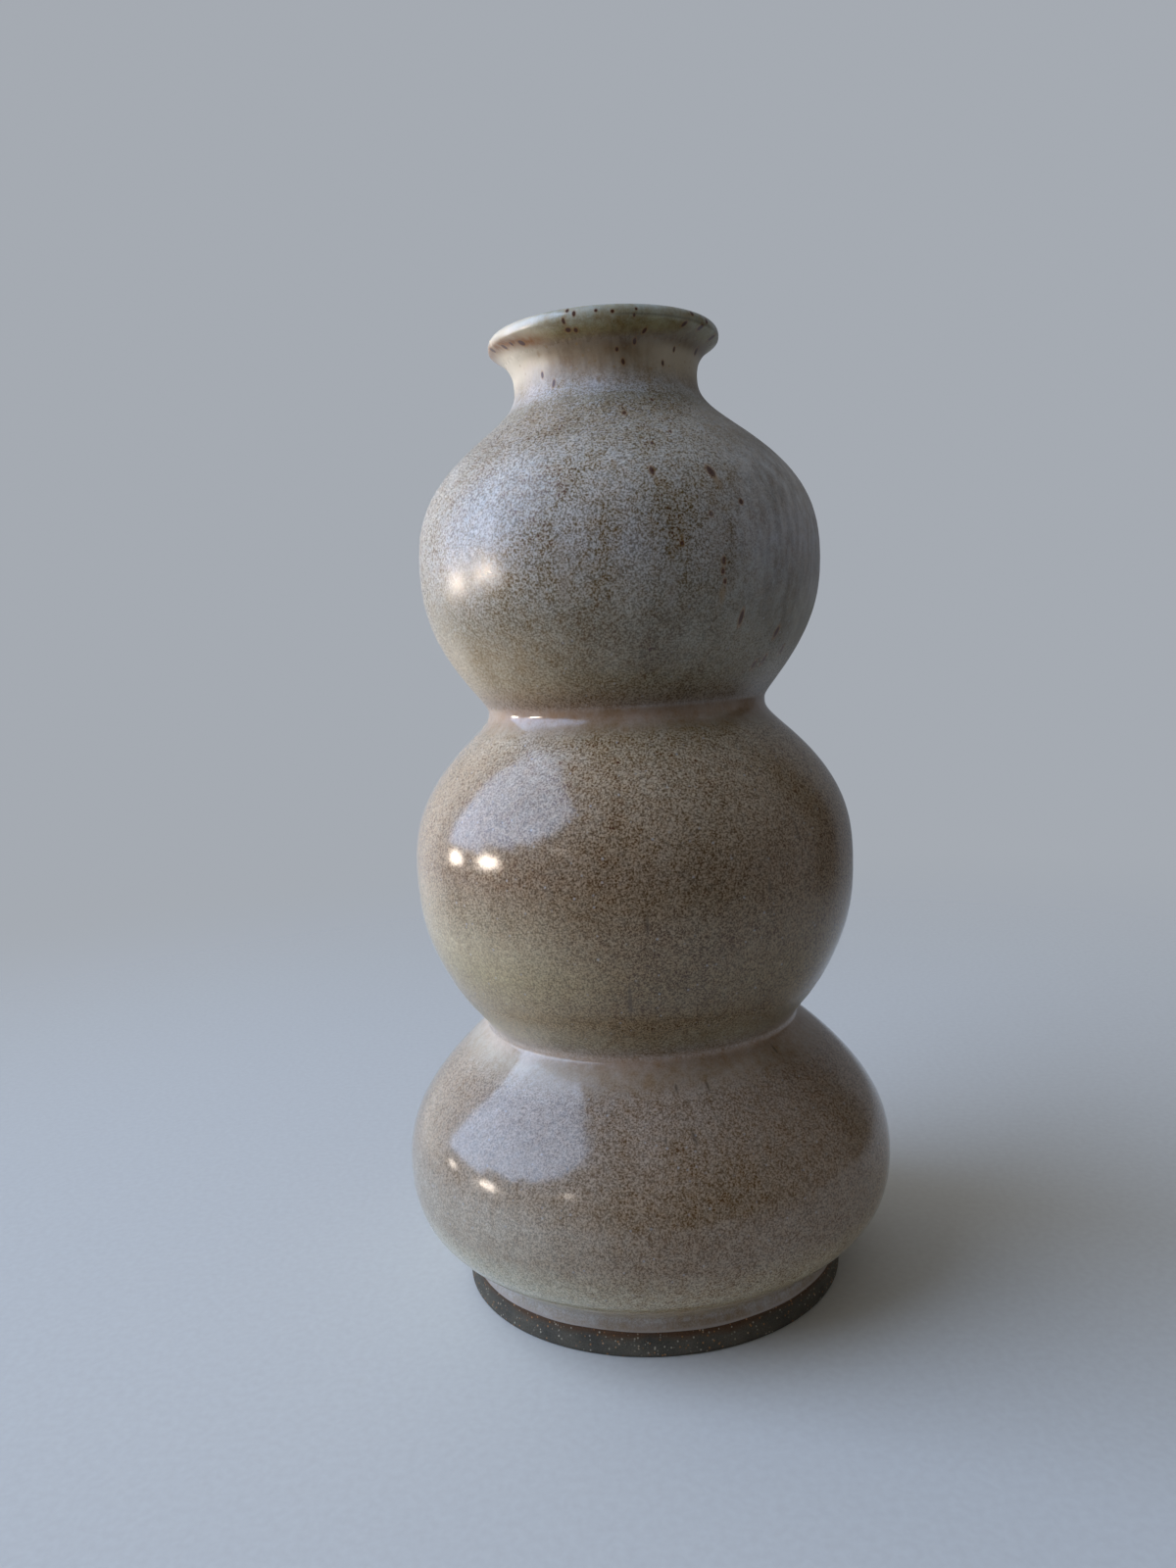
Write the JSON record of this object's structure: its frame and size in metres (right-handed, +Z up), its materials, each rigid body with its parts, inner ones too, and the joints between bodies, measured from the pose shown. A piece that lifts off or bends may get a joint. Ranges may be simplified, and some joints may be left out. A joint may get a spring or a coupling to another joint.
{
  "type": "bubble vase",
  "caption": "Hand-thrown stoneware vase of stacked round bulbs on a bare foot ring, with narrow waists, a flared neck and a rolled lip, glazed inside and out to hold water and stems.",
  "frame": {"origin": "middle of the foot ring's resting face", "axes": "+Z up along the vase's turning axis, from the foot to the mouth; -Y towards the viewer of the picture"},
  "size_m": [0.1342, 0.1342, 0.2556],
  "materials": {
    "stoneware": "bare fired stoneware, dark grey-brown with fine grog",
    "slip": "fired joining slip",
    "body_glaze": "satin to glossy speckled tan glaze breaking to white",
    "rim_glaze": "glossy white glaze with rust-brown iron specks",
    "liner_glaze": "glossy liner glaze"
  },
  "bodies": {
    "root": {"foot_ring": "stoneware", "foot_slip_joint": "slip", "lower_bulb": "stoneware", "lower_waist_slip_joint": "slip", "middle_bulb": "stoneware", "upper_waist_slip_joint": "slip", "upper_bulb": "stoneware", "neck_slip_joint": "slip", "neck_and_lip": "stoneware", "body_glaze": "body_glaze", "rim_glaze": "rim_glaze", "liner_glaze": "liner_glaze"}
  },
  "joints": []
}
